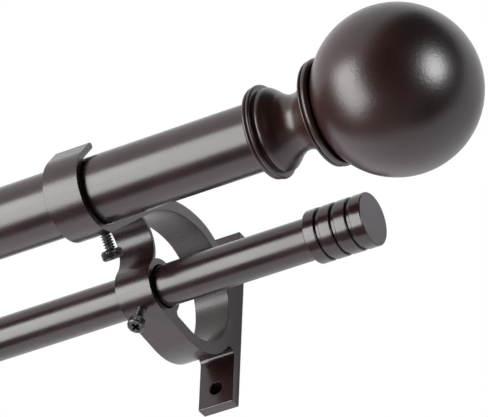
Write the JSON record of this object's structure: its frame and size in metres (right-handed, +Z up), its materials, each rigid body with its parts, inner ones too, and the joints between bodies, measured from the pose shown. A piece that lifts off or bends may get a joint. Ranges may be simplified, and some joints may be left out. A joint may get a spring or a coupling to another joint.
{
  "type": "double curtain rod",
  "caption": "Wall-mounted double telescoping curtain rod: stout front rod with ball finials, slim back rod with grooved end caps, looped brackets with thumb set screws.",
  "frame": {"origin": "wall face of the right bracket, midway between its two screw holes", "axes": "+X along the rods to the right-hand finial, +Y into the wall, +Z up"},
  "size_m": [0.881, 0.1306, 0.078],
  "materials": {
    "bracket": "satin dark bronze coat",
    "tube": "satin dark bronze paint",
    "finial": "satin dark bronze paint",
    "end_cap": "satin dark bronze paint",
    "screw": "black oxide",
    "stud": "zinc plated",
    "insert": "moulded black"
  },
  "bodies": {
    "right_assembly": {"right_bracket": "bracket", "front_rod_outer_tube": "tube", "back_rod_outer_tube": "tube", "right_ball_finial": "finial", "right_finial_stud": "stud", "right_finial_plug": "insert", "right_end_cap": "end_cap"},
    "front_inner_rod": {"front_rod_inner_tube": "tube", "front_rod_glide": "insert", "left_ball_finial": "finial", "left_finial_stud": "stud", "left_finial_plug": "insert"},
    "back_inner_rod": {"back_rod_inner_tube": "tube", "back_rod_glide": "insert", "left_end_cap": "end_cap"},
    "left_bracket": {"left_bracket": "bracket"},
    "right_front_set_screw": {"right_front_set_screw": "screw"},
    "right_back_set_screw": {"right_back_set_screw": "screw"},
    "left_front_set_screw": {"left_front_set_screw": "screw"},
    "left_back_set_screw": {"left_back_set_screw": "screw"}
  },
  "joints": [
    {"name": "front_rod_extend", "type": "slide", "parent": "right_assembly", "child": "front_inner_rod", "axis": [-1, 0, 0], "range_m": [0, 0.508]},
    {"name": "back_rod_extend", "type": "slide", "parent": "right_assembly", "child": "back_inner_rod", "axis": [-1, 0, 0], "range_m": [0, 0.508]},
    {"name": "left_bracket_slide", "type": "slide", "parent": "right_assembly", "child": "left_bracket", "axis": [1, 0, 0], "range_m": [0, 0.4]},
    {"name": "right_front_set_screw_travel", "type": "slide", "parent": "right_assembly", "child": "right_front_set_screw", "axis": [0, 0.682, -0.7314], "range_m": [0, 0.002]},
    {"name": "right_back_set_screw_travel", "type": "slide", "parent": "right_assembly", "child": "right_back_set_screw", "axis": [0, -0.3007, -0.9537], "range_m": [0, 0.002]},
    {"name": "left_front_set_screw_travel", "type": "slide", "parent": "left_bracket", "child": "left_front_set_screw", "axis": [0, 0.682, -0.7314], "range_m": [0, 0.002]},
    {"name": "left_back_set_screw_travel", "type": "slide", "parent": "left_bracket", "child": "left_back_set_screw", "axis": [0, -0.3007, -0.9537], "range_m": [0, 0.002]}
  ]
}
